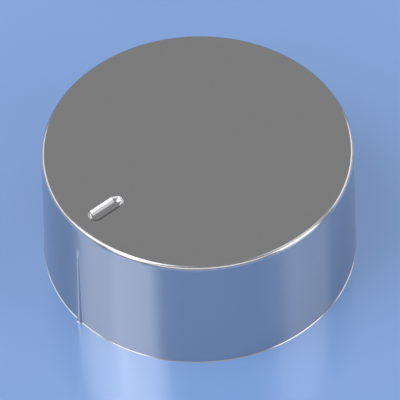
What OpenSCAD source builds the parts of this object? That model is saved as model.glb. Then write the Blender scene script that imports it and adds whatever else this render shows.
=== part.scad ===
// Oven control knob: a satin silver cap with a pointer, a black hub insert and a shaft spring.
// +Z runs along the shaft out of the face, the rim stands on z = 0 and the pointer looks along -Y.

/* [Cap] */
// Diameter of the cap where its wall meets the rounded edge of the top
cap_top_d = 42; // [40:0.5:48]
// Height of the cap from the rim to the top
cap_h = 19.1; // [18:0.1:26]
// Lean of the cap's wall, wider at the rim, in degrees
wall_draft = 1.5; // [0.6:0.1:2.5]
// Thickness of the cap's wall
wall_t = 1.8; // [1.5:0.1:2.2]
// Thickness of the cap's top
top_t = 2.2; // [1.8:0.1:3]
// Radius of the outer edge round the top
top_edge_r = 0.65; // [0.4:0.05:1.2]
// How far the fine lip round the rim stands out of the wall
rim_lip = 0.1; // [0.05:0.01:0.12]
// Height of the lip round the rim
rim_lip_h = 0.15; // [0.15:0.01:0.4]
// Radius inside the cap between its wall and its top
inner_edge_r = 0.8; // [0.4:0.1:1.2]
// Chamfer inside the rim that leads the insert in
rim_chamfer = 0.3; // [0.1:0.05:0.5]

/* [Pointer] */
// Length of the sunk mark in the top, along the radius
mark_l = 5.7; // [4:0.1:7]
// Width of the sunk mark
mark_w = 2.3; // [2:0.1:3]
// Depth of the sunk mark
mark_depth = 0.6; // [0.4:0.05:0.8]
// Distance from the knob's axis to the middle of the mark
mark_at = 16; // [12:0.5:17]
// Radius of the mark's lip, where it meets the top
mark_lip_r = 0.2; // [0.1:0.05:0.3]
// Radius between the mark's side and its floor
mark_floor_r = 0.8; // [0.5:0.05:0.8]
// Height of the pointer rib on the wall, from the rim
rib_h = 13.8; // [10:0.2:16]
// Radius of the rib's rounded back at the rim
rib_foot_r = 0.45; // [0.35:0.05:0.6]
// Radius of the rib's rounded back at its upper end
rib_tip_r = 0.3; // [0.2:0.05:0.4]
// How far the rib stands out of the wall at the rim
rib_foot_out = 0.45; // [0.3:0.05:0.7]
// How far the rib stands out of the wall at its upper end
rib_tip_out = 0.2; // [0.1:0.05:0.3]
// Height of the slope that ends the rib
rib_slope_h = 1.3; // [0.6:0.1:2.5]

/* [Joint between cap and insert] */
// Distance from the rim to the lower face of the insert's ring
ring_at = 3; // [2:0.2:5]
// Number of snap lugs inside the cap's wall, with a key between each two
lug_count = 3; // [2:1:4]
// Angle that each snap lug covers, in degrees
lug_angle = 18; // [10:1:30]
// How far a snap lug stands in from the wall
lug_in = 0.6; // [0.4:0.05:0.8]
// Height of a snap lug
lug_h = 1.6; // [1.2:0.1:1.8]
// Width of a key
key_w = 1.6; // [1.2:0.1:2]
// Width of the key under the pointer, which sets the insert's position
index_key_w = 2.6; // [2.2:0.1:3.4]
// How far a key stands in from the wall
key_in = 0.9; // [0.7:0.05:1]
// Clearance round the insert and its notches
insert_gap = 0.1; // [0.05:0.01:0.2]

/* [Hub insert] */
// Thickness of the insert's outer ring
ring_t = 1.8; // [1.6:0.1:2.4]
// Thickness of the web that lies against the cap
web_t = 1.6; // [1.2:0.1:2.4]
// Number of ribs between hub and ring
spoke_count = 8; // [4:1:10]
// Thickness of a rib
spoke_t = 1.2; // [0.8:0.1:1.6]
// Distance from the rim to the ribs' lower edge at the hub
spoke_at_hub = 3.4; // [3:0.1:6]
// Distance from the rim to the ribs' lower edge at the ring
spoke_at_ring = 5.2; // [4:0.1:7]
// Distance from the rim to the hub's mouth
hub_at = 1.6; // [0.6:0.1:2.6]
// Outside diameter of the hub at its mouth
hub_d = 11.6; // [11.2:0.2:14]
// Lean of the hub's side, wider at the web, in degrees
hub_draft = 1; // [0:0.1:2]
// Fillet between hub and web
hub_fillet_r = 1; // [0.5:0.1:1.5]

/* [Shaft bore] */
// Diameter of the shaft that the hub takes
shaft_d = 6; // [5:0.5:6.5]
// Size of the shaft across its flat
shaft_across_flat = 4.6; // [4:0.1:4.8]
// Clearance between shaft and bore, on the radius
shaft_gap = 0.03; // [0.01:0.01:0.05]
// Clearance between shaft and the round lead-in, on the radius
lead_in_gap = 0.25; // [0.15:0.01:0.4]
// Length of the round lead-in
lead_in_l = 4; // [3:0.2:6]
// Chamfer at the hub's mouth
mouth_chamfer = 0.5; // [0.2:0.1:0.8]

/* [Shaft spring] */
// Thickness of the spring's strip
spring_t = 0.4; // [0.3:0.05:0.5]
// Width of the spring
spring_w = 4; // [3:0.1:4.2]
// How far the spring's front leaf stands into the bore
spring_rise = 0.25; // [0.1:0.05:0.4]
// Depth of the spring's pocket behind the flat
pocket_depth = 2; // [1.6:0.1:2.2]
// Height of the shelf between the lead-in and the pocket
pocket_shelf = 0.6; // [0.4:0.1:2]
// Clearance round the spring in its pocket
spring_gap = 0.05; // [0.02:0.01:0.15]
// Distance from the spring's upper end to the cap
spring_end_gap = 0.3; // [0.1:0.1:1]

/* [Hidden] */

cap_silver = "silver";
insert_black = "#1c1c1e";
spring_steel = "#b9bcc0";

round_fn = 180; // facets of the large round forms
small_fn = 48;  // facets of bores and edges
slack = 1;      // how far cutting shapes run past what they cut
bite = 0.3;     // how far joined shapes run into each other

lean = tan(wall_draft);
edge_z = cap_h - top_edge_r;
ceiling_z = cap_h - top_t;
web_z = ceiling_z - web_t;

bore_r = shaft_d / 2 + shaft_gap;
flat_y = shaft_across_flat - shaft_d / 2 + shaft_gap;
lead_in_r = shaft_d / 2 + lead_in_gap;
bore_z = hub_at + mouth_chamfer + lead_in_l;
pocket_z = bore_z + pocket_shelf;
pocket_y = flat_y + pocket_depth;
hub_top_r = hub_d / 2 + (ceiling_z - hub_at) * tan(hub_draft);

spring_bottom = pocket_z + spring_gap;
spring_top = ceiling_z - spring_end_gap;
bend_r = (pocket_depth - spring_gap) / 2;

// Radius of the cap's outside, of its inside and of the insert at height z
function wall_r(z) = cap_top_d / 2 + (edge_z - z) * lean;
function inner_r(z) = wall_r(z) - wall_t;
function ring_r(z) = inner_r(z) - insert_gap;

// Drafted disc standing on z = 0: r0 is its radius there, edge_r the radius round its top, and
// lip and lip_h the sizes of a lip round its foot
module drafted_disc(r0, h, edge_r, lip = 0, lip_h = 0) {
    normal = [cos(wall_draft), sin(wall_draft)];
    edge_at = [r0 - (h - edge_r) * lean - edge_r / normal.x, h - edge_r];
    foot = lip > 0 ? [[r0 + lip, 0], [r0 + lip, lip_h - lip], [r0 - lip_h * lean, lip_h]] : [[r0, 0]];
    rotate_extrude($fn = round_fn) {
        polygon(concat([[0, 0]], foot, [edge_at + edge_r * normal, [edge_at.x, h], [0, h]]));
        intersection() {
            translate(edge_at) circle(edge_r, $fn = small_fn);
            translate(edge_at) square(edge_r);
        }
    }
}

// Block with the (radius, height) outline points, bent round the axis through angle a about -Y
module wall_block(points, a) {
    rotate([0, 0, -90 - a / 2])
        rotate_extrude(angle = a, $fn = round_fn) polygon(points);
}

// Places its children at -Y and at every further step round the axis
module round_the_axis(count, first = 0) {
    for (i = [0 : count - 1])
        rotate([0, 0, first + i * 360 / count]) children();
}

// Half of the mark's cross-section: flat floor, hollow side, rounded lip
module mark_half_section() {
    rise = mark_floor_r - mark_depth + mark_lip_r;
    run = sqrt(pow(mark_floor_r + mark_lip_r, 2) - rise * rise);
    floor_at = [mark_w / 2 - run, mark_floor_r - mark_depth];
    lip_at = [mark_w / 2, -mark_lip_r];
    touch = (floor_at * mark_lip_r + lip_at * mark_floor_r) / (mark_floor_r + mark_lip_r);
    difference() {
        union() {
            polygon([[0, slack], [lip_at.x, slack], [lip_at.x, 0], touch,
                     [floor_at.x, -mark_depth], [0, -mark_depth]]);
            intersection() {
                translate(floor_at) circle(mark_floor_r, $fn = small_fn);
                polygon([[floor_at.x, -mark_depth], [touch.x, -mark_depth], touch]);
            }
        }
        translate(lip_at) circle(mark_lip_r, $fn = small_fn);
    }
}

// The sunk mark as a cutting shape, its lip level with z = 0 and its length along Y
module mark_cutter() {
    straight = mark_l - mark_w;
    rotate([90, 0, 0]) linear_extrude(straight, center = true) {
        mark_half_section();
        mirror([1, 0]) mark_half_section();
    }
    for (side = [0, 180])
        rotate([0, 0, side]) translate([0, straight / 2, 0])
            rotate_extrude(angle = 180, $fn = small_fn) mark_half_section();
}

// The pointer rib: a tapering round back let into the wall, cut to a slope at its upper end
module pointer_rib() {
    slope_z = rib_h - rib_slope_h;
    ridge_y = wall_r(slope_z) + rib_tip_out;
    foot_y = wall_r(0) + rib_foot_out - rib_foot_r;
    tip_y = ridge_y - rib_tip_r;
    run = (ridge_y - wall_r(rib_h)) / rib_slope_h;
    back_l = norm([foot_y - tip_y, slope_z]);
    taper = (rib_foot_r - rib_tip_r) / back_l;
    past = rib_slope_h + bite;
    reach = rib_foot_r + slack;
    intersection() {
        translate([0, -foot_y, 0]) rotate([-atan2(foot_y - tip_y, slope_z), 0, 0])
            translate([0, 0, -slack])
                cylinder(h = slack + back_l + past, r1 = rib_foot_r + slack * taper,
                         r2 = rib_tip_r - past * taper, $fn = small_fn);
        rotate([90, 0, -90]) linear_extrude(2 * reach, center = true)
            polygon([[tip_y - reach, 0], [foot_y + reach, 0],
                     [ridge_y + slack * run, slope_z - slack],
                     [wall_r(rib_h) - slack * run, rib_h + slack], [tip_y - reach, rib_h + slack]]);
    }
}

// A key inside the cap's wall, or with gap > 0 its notch in the insert
module key(w, gap = 0) {
    bottom = ring_at - (gap > 0 ? slack : 0);
    top = ceiling_z + (gap > 0 ? slack : 0);
    in = key_in + gap;
    ramp = gap > 0 ? 0 : key_in;
    wall_block([[inner_r(bottom) + bite, bottom], [inner_r(bottom), bottom],
                [inner_r(bottom + ramp) - in, bottom + ramp], [inner_r(top) - in, top],
                [inner_r(top) + bite, top]],
               (w + 2 * gap) / inner_r(0) * 180 / PI);
}

// All keys, or with gap > 0 all notches: the wide one under the pointer, the others between the lugs
module keys(gap = 0) {
    key(index_key_w, gap);
    for (i = [1 : lug_count - 1])
        rotate([0, 0, i * 360 / lug_count]) key(key_w, gap);
}

module snap_lug() {
    top = ring_at - insert_gap;
    edge = top - lug_h / 5;
    foot = top - lug_h;
    wall_block([[inner_r(top) + bite, top], [inner_r(top) - lug_in, top],
                [inner_r(edge) - lug_in, edge], [inner_r(foot), foot], [inner_r(foot) + bite, foot]],
               lug_angle);
}

module knob_cap() color(cap_silver) {
    difference() {
        union() {
            drafted_disc(wall_r(0), cap_h, top_edge_r, rim_lip, rim_lip_h);
            pointer_rib();
        }
        drafted_disc(inner_r(0), ceiling_z, inner_edge_r);
        translate([0, 0, -slack])
            cylinder(h = rim_chamfer + slack, r1 = inner_r(0) + rim_chamfer + slack, r2 = inner_r(0),
                     $fn = round_fn);
        translate([0, -mark_at, cap_h]) mark_cutter();
    }
    keys();
    round_the_axis(lug_count, 180 / lug_count) snap_lug();
}

// Rib between hub and ring, along -Y
module spoke() {
    inner = hub_d / 2 - bite;
    outer = ring_r(ring_at) - ring_t / 2;
    rotate([90, 0, -90]) translate([0, 0, -spoke_t / 2])
        linear_extrude(spoke_t)
            polygon([[inner, spoke_at_hub], [outer, spoke_at_ring],
                     [outer, web_z + bite], [inner, web_z + bite]]);
}

// The D-shaped bore with its round lead-in, and the spring's pocket behind the flat
module shaft_bore() {
    translate([0, 0, hub_at - slack])
        cylinder(h = mouth_chamfer + slack, r1 = lead_in_r + mouth_chamfer + slack, r2 = lead_in_r,
                 $fn = small_fn);
    translate([0, 0, hub_at]) cylinder(h = bore_z - hub_at, r = lead_in_r, $fn = small_fn);
    translate([0, 0, hub_at]) linear_extrude(ceiling_z - hub_at + slack) intersection() {
        circle(bore_r, $fn = small_fn);
        translate([-bore_r, -flat_y]) square([2 * bore_r, bore_r + flat_y]);
    }
    translate([-spring_w / 2 - spring_gap, -pocket_y, pocket_z])
        cube([spring_w + 2 * spring_gap, pocket_y, ceiling_z - pocket_z + slack]);
}

module hub() {
    fillet_at = [hub_top_r + hub_fillet_r, web_z - hub_fillet_r];
    translate([0, 0, hub_at])
        cylinder(h = ceiling_z - hub_at, r1 = hub_d / 2, r2 = hub_top_r, $fn = round_fn);
    rotate_extrude($fn = round_fn) difference() {
        translate([0, fillet_at.y]) square([fillet_at.x, hub_fillet_r]);
        translate(fillet_at) circle(hub_fillet_r, $fn = small_fn);
    }
}

module hub_insert() color(insert_black) difference() {
    union() {
        difference() {
            translate([0, 0, ring_at]) drafted_disc(ring_r(ring_at), ceiling_z - ring_at, inner_edge_r);
            translate([0, 0, ring_at - slack])
                cylinder(h = web_z - ring_at + slack, r1 = ring_r(ring_at - slack) - ring_t,
                         r2 = ring_r(web_z) - ring_t, $fn = round_fn);
        }
        hub();
        round_the_axis(spoke_count, 180 / spoke_count) spoke();
    }
    shaft_bore();
    keys(insert_gap);
}

// Hairpin of spring strip: back leaf on the pocket's wall, bend at the foot, bowed front leaf
module shaft_spring() color(spring_steel) {
    bend_at = [-flat_y - bend_r, spring_bottom + bend_r];
    leaf_l = spring_top - bend_at.y;
    bow_r = (leaf_l * leaf_l / 8 + spring_rise * spring_rise / 2) / spring_rise;
    bow_at = [spring_rise - flat_y - bow_r, bend_at.y + leaf_l / 2];
    translate([-spring_w / 2, 0, 0]) rotate([90, 0, 90]) linear_extrude(spring_w) {
        translate([-flat_y - 2 * bend_r, bend_at.y]) square([spring_t, leaf_l]);
        difference() {
            translate(bend_at) circle(bend_r, $fn = small_fn);
            translate(bend_at) circle(bend_r - spring_t, $fn = small_fn);
            translate([bend_at.x - bend_r - slack, bend_at.y]) square(2 * (bend_r + slack));
        }
        intersection() {
            translate([-flat_y - 2 * spring_t, bend_at.y])
                square([2 * spring_t + spring_rise + slack, leaf_l]);
            difference() {
                translate(bow_at) circle(bow_r, $fn = 8 * round_fn);
                translate(bow_at) circle(bow_r - spring_t, $fn = 8 * round_fn);
            }
        }
    }
}

knob_cap();
hub_insert();
shaft_spring();
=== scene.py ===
"""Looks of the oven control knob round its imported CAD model, in metres, in the CAD's own frame:
+Z along the shaft out of the face, the rim on z = 0, the pointer towards -Y."""

import math

import bmesh
import bpy
from mathutils import Matrix, Vector


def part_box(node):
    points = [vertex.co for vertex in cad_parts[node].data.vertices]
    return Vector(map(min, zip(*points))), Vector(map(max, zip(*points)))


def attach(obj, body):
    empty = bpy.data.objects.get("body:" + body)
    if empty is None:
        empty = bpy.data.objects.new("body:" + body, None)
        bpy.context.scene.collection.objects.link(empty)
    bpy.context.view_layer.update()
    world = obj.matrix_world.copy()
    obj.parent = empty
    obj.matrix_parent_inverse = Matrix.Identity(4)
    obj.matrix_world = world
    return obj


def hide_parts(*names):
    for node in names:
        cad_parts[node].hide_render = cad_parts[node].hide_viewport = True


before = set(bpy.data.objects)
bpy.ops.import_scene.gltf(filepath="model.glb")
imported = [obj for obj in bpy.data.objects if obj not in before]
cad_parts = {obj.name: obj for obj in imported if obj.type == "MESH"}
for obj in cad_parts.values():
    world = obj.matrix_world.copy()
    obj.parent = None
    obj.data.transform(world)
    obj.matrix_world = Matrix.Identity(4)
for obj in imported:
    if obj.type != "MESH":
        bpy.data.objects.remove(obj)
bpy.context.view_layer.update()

MM = 0.001

# ---------------------------------------------------------------- camera
# The camera looks down on the knob with the pointer to its left, from far away with a long lens.
CAMERA_AZIMUTH = 50.5      # degrees from -Y towards +X
CAMERA_ELEVATION = 49.1    # degrees above the floor
CAMERA_ROLL = 1.69         # degrees; lifts the picture's right side
CAMERA_DISTANCE = 525 * MM
AIM_RIGHT = 0.15 * MM      # where the view's centre lies beside the origin
AIM_UP = 5.54 * MM
LENS = 342.5               # in mm, as Blender's cameras have it
SENSOR_WIDTH = 36.0


def towards(azimuth, elevation):
    """Unit vector from the origin: azimuth in degrees from -Y towards +X, elevation above the floor."""
    a, e = math.radians(azimuth), math.radians(elevation)
    return Vector((math.sin(a) * math.cos(e), -math.cos(a) * math.cos(e), math.sin(e)))


def make_camera():
    back = towards(CAMERA_AZIMUTH, CAMERA_ELEVATION)
    level = Vector((0, 0, 1)).cross(back).normalized()
    raised = back.cross(level)
    place = back * CAMERA_DISTANCE + level * AIM_RIGHT + raised * AIM_UP
    roll = math.radians(CAMERA_ROLL)
    right = level * math.cos(roll) - raised * math.sin(roll)
    up = level * math.sin(roll) + raised * math.cos(roll)
    data = bpy.data.cameras.new("camera")
    data.lens = LENS
    data.sensor_width = SENSOR_WIDTH
    data.clip_start = 0.01
    data.clip_end = 20.0
    camera = bpy.data.objects.new("camera", data)
    camera.matrix_world = Matrix((
        (right.x, up.x, back.x, place.x),
        (right.y, up.y, back.y, place.y),
        (right.z, up.z, back.z, place.z),
        (0, 0, 0, 1),
    ))
    bpy.context.scene.collection.objects.link(camera)
    bpy.context.scene.camera = camera


# ---------------------------------------------------------------- node helpers
class Nodes:
    """Short calls for building a material's nodes."""

    def __init__(self, name):
        self.material = bpy.data.materials.new(name)
        self.material.use_nodes = True
        self.tree = self.material.node_tree
        self.tree.nodes.clear()
        self.shader = self.add("ShaderNodeBsdfPrincipled")
        out = self.add("ShaderNodeOutputMaterial")
        self.link(self.shader.outputs["BSDF"], out, "Surface")

    def add(self, kind, **values):
        """A node with its sockets' values given by name, with _ for a space."""
        node = self.tree.nodes.new(kind)
        for key, value in values.items():
            node.inputs[key.replace("_", " ")].default_value = value
        return node

    def link(self, output, node, socket):
        self.tree.links.new(output, node.inputs[socket])

    def place(self, scale=(1, 1, 1)):
        """The object's own coordinates, stretched by scale."""
        coordinates = self.add("ShaderNodeTexCoord")
        stretch = self.add("ShaderNodeMapping", Scale=scale)
        self.link(coordinates.outputs["Object"], stretch, "Vector")
        return stretch.outputs["Vector"]

    def noise(self, vector, scale, detail=2.0):
        """Noise with features of about 1 / scale metres."""
        noise = self.add("ShaderNodeTexNoise", Scale=scale, Detail=detail)
        self.link(vector, noise, "Vector")
        return noise.outputs["Fac"]

    def between(self, value, low, high):
        """The value, which noise keeps near 0.5, spread from low to high."""
        spread = self.add("ShaderNodeMapRange", From_Min=0.3, From_Max=0.7, To_Min=low, To_Max=high)
        self.link(value, spread, "Value")
        return spread.outputs["Result"]

    def colour_between(self, value, low, high):
        """A colour that goes from low at 0 to high at 1."""
        ramp = self.add("ShaderNodeMix")
        ramp.data_type = "RGBA"
        ramp.inputs["A"].default_value = (*low, 1)
        ramp.inputs["B"].default_value = (*high, 1)
        self.link(value, ramp, "Factor")
        return ramp.outputs["Result"]

    def bump(self, height, depth):
        """Relief of the given depth in metres."""
        bump = self.add("ShaderNodeBump", Strength=1.0, Distance=depth)
        self.link(height, bump, "Height")
        return bump.outputs["Normal"]


# ---------------------------------------------------------------- stage
FLOOR_COLOUR = (0.21, 0.41, 0.86, 1)
FLOOR_ROUGHNESS = 0.18     # glossy, because the cap's wall mirrors the lights by way of the floor
FLOOR_IOR = 2.0
FLOOR_HALF = 3.0           # half of its side, in metres
WORLD_GREY = 0.395         # mirrored by the flat of the top


def make_floor():
    mesh = bpy.data.meshes.new("floor")
    corners = [(-1, -1), (1, -1), (1, 1), (-1, 1)]
    mesh.from_pydata([(x * FLOOR_HALF, y * FLOOR_HALF, 0) for x, y in corners], [], [(0, 1, 2, 3)])
    floor = bpy.data.objects.new("floor", mesh)
    bpy.context.scene.collection.objects.link(floor)
    n = Nodes("pale board")
    n.shader.inputs["Base Color"].default_value = FLOOR_COLOUR
    n.shader.inputs["Roughness"].default_value = FLOOR_ROUGHNESS
    n.shader.inputs["IOR"].default_value = FLOOR_IOR
    n.shader.inputs["Specular IOR Level"].default_value = 1.0
    mesh.materials.append(n.material)


def softbox(name, azimuth, elevation, distance, width, height, radiance):
    """White area light turned to the knob. Azimuth counts from the camera's own, towards its right."""
    data = bpy.data.lights.new(name, "AREA")
    data.shape = "RECTANGLE"
    data.size = width
    data.size_y = height
    data.energy = radiance * math.pi * width * height
    light = bpy.data.objects.new(name, data)
    side = towards(CAMERA_AZIMUTH + azimuth, elevation)
    light.location = side * distance
    light.rotation_mode = "QUATERNION"
    light.rotation_quaternion = side.to_track_quat("Z", "Y")
    bpy.context.scene.collection.objects.link(light)


def make_lights():
    # azimuth, elevation, distance, width, height, radiance
    softbox("key", -48.5, 44, 0.9, 0.35, 1.05, 1.95)
    softbox("key left", -80, 44, 0.9, 0.38, 1.05, 1.65)
    softbox("left", -118, 18, 0.9, 0.8, 0.35, 1.2)
    softbox("front", 4, 27, 1.0, 1.3, 0.36, 1.3)
    softbox("right", 64, 21, 0.9, 0.48, 0.6, 2.0)
    softbox("right high", 84, 57, 0.9, 0.46, 0.42, 0.8)
    softbox("rear right", 118, 20, 0.9, 0.8, 0.38, 1.3)
    world = bpy.data.worlds.new("world")
    world.use_nodes = True
    background = world.node_tree.nodes["Background"]
    background.inputs["Color"].default_value = (WORLD_GREY, WORLD_GREY, WORLD_GREY, 1)
    background.inputs["Strength"].default_value = 1.0
    bpy.context.scene.world = world
    bpy.context.scene.view_settings.view_transform = "Standard"


# ---------------------------------------------------------------- materials
def satin_silver():
    """Satin silver finish of the cap: fine even grain, faint clouds in its gloss."""
    n = Nodes("satin silver")
    n.shader.inputs["Metallic"].default_value = 1.0
    place = n.place()
    grain = n.noise(place, 4500.0)
    cloud = n.noise(place, 300.0)
    n.link(n.colour_between(grain, (0.47, 0.47, 0.48), (0.53, 0.53, 0.54)), n.shader, "Base Color")
    n.link(n.between(cloud, 0.16, 0.19), n.shader, "Roughness")
    n.link(n.bump(grain, 0.3e-6), n.shader, "Normal")
    return n.material


def black_plastic():
    """Glass-filled black plastic of the insert, with the fine skin of a spark-eroded mould."""
    n = Nodes("black plastic")
    place = n.place()
    skin = n.noise(place, 6000.0, 3.0)
    cloud = n.noise(place, 350.0, 4.0)
    n.link(n.colour_between(cloud, (0.013, 0.013, 0.014), (0.024, 0.024, 0.026)), n.shader, "Base Color")
    n.link(n.between(cloud, 0.42, 0.56), n.shader, "Roughness")
    n.link(n.bump(skin, 12e-6), n.shader, "Normal")
    return n.material


def spring_steel():
    """Rolled spring strip, with its grain along the strip."""
    n = Nodes("spring steel")
    n.shader.inputs["Metallic"].default_value = 1.0
    lines = n.noise(n.place((1, 1, 0.04)), 9000.0, 3.0)
    n.link(n.colour_between(lines, (0.42, 0.42, 0.43), (0.58, 0.57, 0.56)), n.shader, "Base Color")
    n.link(n.between(lines, 0.22, 0.38), n.shader, "Roughness")
    n.link(n.bump(lines, 2e-6), n.shader, "Normal")
    return n.material


# ---------------------------------------------------------------- the cap's shape
# Sizes are part.scad's, apart from the lip, the rib's foot, fillet and end and the mark's floor,
# which differ a little so that the light catches them as in the photo.
CAP_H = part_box("knob_cap")[1][2]
CAP_R = 21 * MM                      # where the wall meets the top's rounded edge
WALL_LEAN = math.radians(1.5)
WALL_T = 1.8 * MM
EDGE_R = 0.65 * MM
EDGE_STEPS = 12
LIP_OUT = 0.08 * MM                  # fine slanted lip round the rim
LIP_H = 0.1 * MM
LIP_FOOT_R = 0.02 * MM
LIP_STEPS = 4
RIM_CHAMFER = 0.3 * MM               # inside the rim
TOP_SKIN = 1 * MM                    # depth under the top that holds none of the cap's inside
WALL_STEPS = 22                      # up to the rib's slope
UPPER_WALL_STEPS = 4                 # from the rib's upper end to the top's edge
ROUND_STEPS = 320                    # round the wall, apart from the strip with the rib

MARK_AT = 16 * MM
MARK_L = 5.7 * MM
MARK_W = 2.3 * MM
MARK_DEPTH = 0.6 * MM
MARK_LIP_R = 0.2 * MM
MARK_FLOOR_R = 1.1 * MM
MARK_LIP_STEPS = 6
MARK_FLOOR_STEPS = 12
MARK_END_STEPS = 24
MARK_SIDE_STEPS = 10

RIB_H = 13.8 * MM
RIB_SLOPE_H = 1.3 * MM               # of the slope that ends the rib
RIB_FOOT_R = 0.45 * MM
RIB_TIP_R = 0.3 * MM
RIB_FOOT_OUT = 0.37 * MM             # of the wall's face, which leaves room for the lip
RIB_TIP_OUT = 0.2 * MM
RIB_FILLET_R = 0.12 * MM             # hollow between the rib and the wall
RIB_STRIP = 0.9 * MM                 # half the width of the strip that holds the rib
RIB_BACK_STEPS = 12
RIB_FILLET_STEPS = 5
RIB_STRIP_STEPS = 4
RIB_SLOPE_STEPS = 12

WELD = 0.001 * MM                    # points nearer to each other than this are one
FLAT_ANGLE = math.radians(0.2)       # edges flatter than this are dissolved
SHARP_ANGLE = math.radians(35)       # edges sharper than this stay sharp or get a bevel
INSERT_ROUNDING = 0.12 * MM
SPRING_ROUNDING = 0.05 * MM


def wall_radius(z):
    """Radius of the wall's face at height z, as if it ran down to the floor without its lip."""
    return CAP_R + (CAP_H - EDGE_R - z) * math.tan(WALL_LEAN)


def outer_profile():
    """(radius, z) points of the cap's skin from the rim's plane up to the flat of the top."""
    points = []
    lip_r = wall_radius(0) + LIP_OUT
    for i in range(LIP_STEPS + 1):
        a = math.radians(90) * i / LIP_STEPS
        points.append((lip_r - LIP_FOOT_R * (1 - math.sin(a)), LIP_FOOT_R * (1 - math.cos(a))))
    high = CAP_H - EDGE_R
    slope = RIB_H - RIB_SLOPE_H
    heights = [LIP_H + (slope - LIP_H) * i / WALL_STEPS for i in range(WALL_STEPS)]
    heights += [slope + RIB_SLOPE_H * i / RIB_SLOPE_STEPS for i in range(RIB_SLOPE_STEPS)]
    heights += [RIB_H + (high - RIB_H) * i / UPPER_WALL_STEPS for i in range(UPPER_WALL_STEPS)]
    points += [(wall_radius(z), z) for z in heights]
    centre = CAP_R - EDGE_R / math.cos(WALL_LEAN)
    for i in range(EDGE_STEPS + 1):
        a = WALL_LEAN + (math.radians(90) - WALL_LEAN) * i / EDGE_STEPS
        points.append((centre + EDGE_R * math.cos(a), high + EDGE_R * math.sin(a)))
    return points


def rib_section(z, grow):
    """(across, outwards) points of half the rib's section at height z, from its ridge to the wall.
    The section is widened by grow all round, which makes the lip follow the rib."""
    share = min(z / (RIB_H - RIB_SLOPE_H), 1)
    back_r = RIB_FOOT_R + (RIB_TIP_R - RIB_FOOT_R) * share
    out = RIB_FOOT_OUT + (RIB_TIP_OUT - RIB_FOOT_OUT) * share
    depth = back_r - out                       # of the back's centre under the wall's face
    foot = math.sqrt((back_r + RIB_FILLET_R) ** 2 - (RIB_FILLET_R + depth) ** 2)
    turn = math.atan2(foot, RIB_FILLET_R + depth)    # of the back's arc, from the ridge to the fillet
    points = []
    for i in range(RIB_BACK_STEPS + 1):
        a = turn * i / RIB_BACK_STEPS
        points.append(((back_r + grow) * math.sin(a), (back_r + grow) * math.cos(a) - depth))
    fillet_r = RIB_FILLET_R - grow
    for i in range(1, RIB_FILLET_STEPS + 1):
        a = turn * (1 - i / RIB_FILLET_STEPS)
        points.append((foot - fillet_r * math.sin(a), RIB_FILLET_R - fillet_r * math.cos(a)))
    rise = (z - RIB_H + RIB_SLOPE_H) / RIB_SLOPE_H    # up the slope, which bends into the wall
    if rise > 0:
        slope_out = RIB_TIP_OUT * (1 - min(rise, 1) ** 2)
        points = [(across, min(height, slope_out)) for across, height in points]
    return points


def skin_ring(radius, z):
    """One level ring of the cap's skin, round from the rib's ridge at -Y back to it."""
    base = min(radius, wall_radius(z))
    grow = radius - base
    half = rib_section(z, grow)
    edge = half[-1][0]
    step = (RIB_STRIP - edge) / RIB_STRIP_STEPS
    half += [(edge + step * i, grow) for i in range(1, RIB_STRIP_STEPS + 1)]
    turns = [(across / CAP_R, out) for across, out in half]
    start = RIB_STRIP / CAP_R
    sweep = 2 * math.pi - 2 * start
    turns += [(start + sweep * i / ROUND_STEPS, grow) for i in range(1, ROUND_STEPS)]
    turns += [(2 * math.pi - across / CAP_R, out) for across, out in reversed(half[1:])]
    return [Vector(((base + out) * math.sin(a), -(base + out) * math.cos(a), z)) for a, out in turns]


def mark_ring(radius, z):
    """One level ring of the sunk mark: a slot with round ends of the given radius."""
    half = (MARK_L - MARK_W) / 2
    points = []
    for side in (1, -1):
        for i in range(MARK_END_STEPS):
            a = math.pi * i / MARK_END_STEPS
            points.append((side * radius * math.cos(a), side * (half + radius * math.sin(a))))
        for i in range(MARK_SIDE_STEPS):
            points.append((-side * radius, side * half * (1 - 2 * i / MARK_SIDE_STEPS)))
    return [Vector((x, y - MARK_AT, z)) for x, y in points]


def mark_profile():
    """(radius, z) points of the mark's side, from its lip down to its floor."""
    rise = MARK_FLOOR_R + MARK_LIP_R - MARK_DEPTH
    turn = math.acos(rise / (MARK_FLOOR_R + MARK_LIP_R))
    run = (MARK_FLOOR_R + MARK_LIP_R) * math.sin(turn)
    points = []
    for i in range(MARK_LIP_STEPS + 1):
        a = turn * i / MARK_LIP_STEPS
        points.append((MARK_W / 2 - MARK_LIP_R * math.sin(a), CAP_H - MARK_LIP_R * (1 - math.cos(a))))
    for i in reversed(range(MARK_FLOOR_STEPS)):
        a = turn * i / MARK_FLOOR_STEPS
        points.append((MARK_W / 2 - run + MARK_FLOOR_R * math.sin(a),
                       CAP_H - MARK_DEPTH + MARK_FLOOR_R * (1 - math.cos(a))))
    return points


def add_rings(bm, rings):
    """Adds closed rings of points with quads between each two, and returns their vertices."""
    loops = [[bm.verts.new(point) for point in ring] for ring in rings]
    for low, high in zip(loops, loops[1:]):
        for i in range(len(low)):
            bm.faces.new((low[i - 1], low[i], high[i], high[i - 1]))
    return loops


def ring_edges(bm, loop):
    """The edges of a closed ring of vertices."""
    return [bm.edges.get((loop[i - 1], loop[i])) for i in range(len(loop))]


def add_inside(bm, node, rim_radius):
    """Copies the CAD cap's faces inside the rim, and returns the edges of their open ring."""
    inside = bmesh.new()
    inside.from_mesh(node.data)
    bmesh.ops.remove_doubles(inside, verts=inside.verts, dist=WELD)
    outer = [v for v in inside.verts
             if Vector(v.co[:2]).length > rim_radius + WELD or v.co.z > CAP_H - TOP_SKIN]
    bmesh.ops.delete(inside, geom=outer, context="VERTS")
    copies = {v: bm.verts.new(v.co) for v in inside.verts}
    for face in inside.faces:
        bm.faces.new([copies[v] for v in face.verts])
    ring = [bm.edges.get([copies[v] for v in e.verts]) for e in inside.edges if e.is_boundary]
    inside.free()
    return ring


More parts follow.
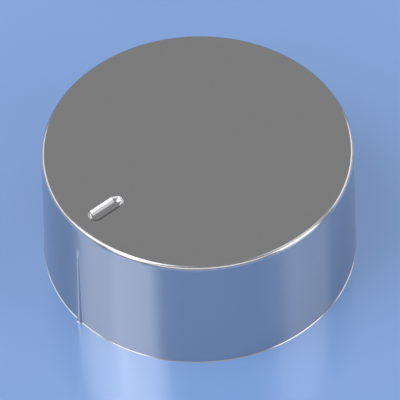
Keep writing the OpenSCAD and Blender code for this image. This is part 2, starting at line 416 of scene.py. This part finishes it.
def make_cap():
    """The cap: its skin and mark built in rings here, joined to the inside of the CAD cap."""
    bm = bmesh.new()
    skin = add_rings(bm, [skin_ring(radius, z) for radius, z in outer_profile()])
    mark = add_rings(bm, [mark_ring(radius, z) for radius, z in mark_profile()])
    bm.faces.new(mark[-1])
    top_edges = ring_edges(bm, skin[-1]) + ring_edges(bm, mark[0])
    bmesh.ops.triangle_fill(bm, use_beauty=True, edges=top_edges)
    rim_radius = wall_radius(0) - WALL_T + RIM_CHAMFER
    ring = add_inside(bm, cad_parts["knob_cap"], rim_radius)
    rim_edges = ring_edges(bm, skin[0]) + ring
    bmesh.ops.triangle_fill(bm, use_beauty=True, edges=rim_edges)
    bmesh.ops.recalc_face_normals(bm, faces=bm.faces)
    return finished_piece("cap_shell", bm, "knob_cap", satin_silver())


def finished_piece(name, bm, node, material):
    """Turns the mesh into a smooth-shaded piece that stands for a CAD node."""
    mesh = bpy.data.meshes.new(name)
    bm.to_mesh(mesh)
    bm.free()
    for polygon in mesh.polygons:
        polygon.use_smooth = True
    mesh.set_sharp_from_angle(angle=SHARP_ANGLE)
    mesh.materials.append(material)
    piece = bpy.data.objects.new(name, mesh)
    bpy.context.scene.collection.objects.link(piece)
    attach(piece, "root")
    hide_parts(node)
    return piece


def weigh_normals(piece):
    """Shades large flat faces flat up to their rounded edges."""
    normals = piece.modifiers.new("normals", "WEIGHTED_NORMAL")
    normals.keep_sharp = True


def make_softened(name, node, material, width):
    """Copy of a CAD node with its sharp edges rounded by width."""
    bm = bmesh.new()
    bm.from_mesh(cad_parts[node].data)
    bmesh.ops.remove_doubles(bm, verts=bm.verts, dist=WELD)
    bmesh.ops.dissolve_limit(bm, angle_limit=FLAT_ANGLE, verts=bm.verts, edges=bm.edges)
    piece = finished_piece(name, bm, node, material)
    rounding = piece.modifiers.new("rounding", "BEVEL")
    rounding.width = width
    rounding.segments = 2
    rounding.limit_method = "ANGLE"
    rounding.angle_limit = SHARP_ANGLE
    return piece


make_camera()
make_floor()
make_lights()
weigh_normals(make_cap())
weigh_normals(make_softened("insert_moulding", "hub_insert",
                            black_plastic(), INSERT_ROUNDING))
weigh_normals(make_softened("spring_strip", "shaft_spring",
                            spring_steel(), SPRING_ROUNDING))
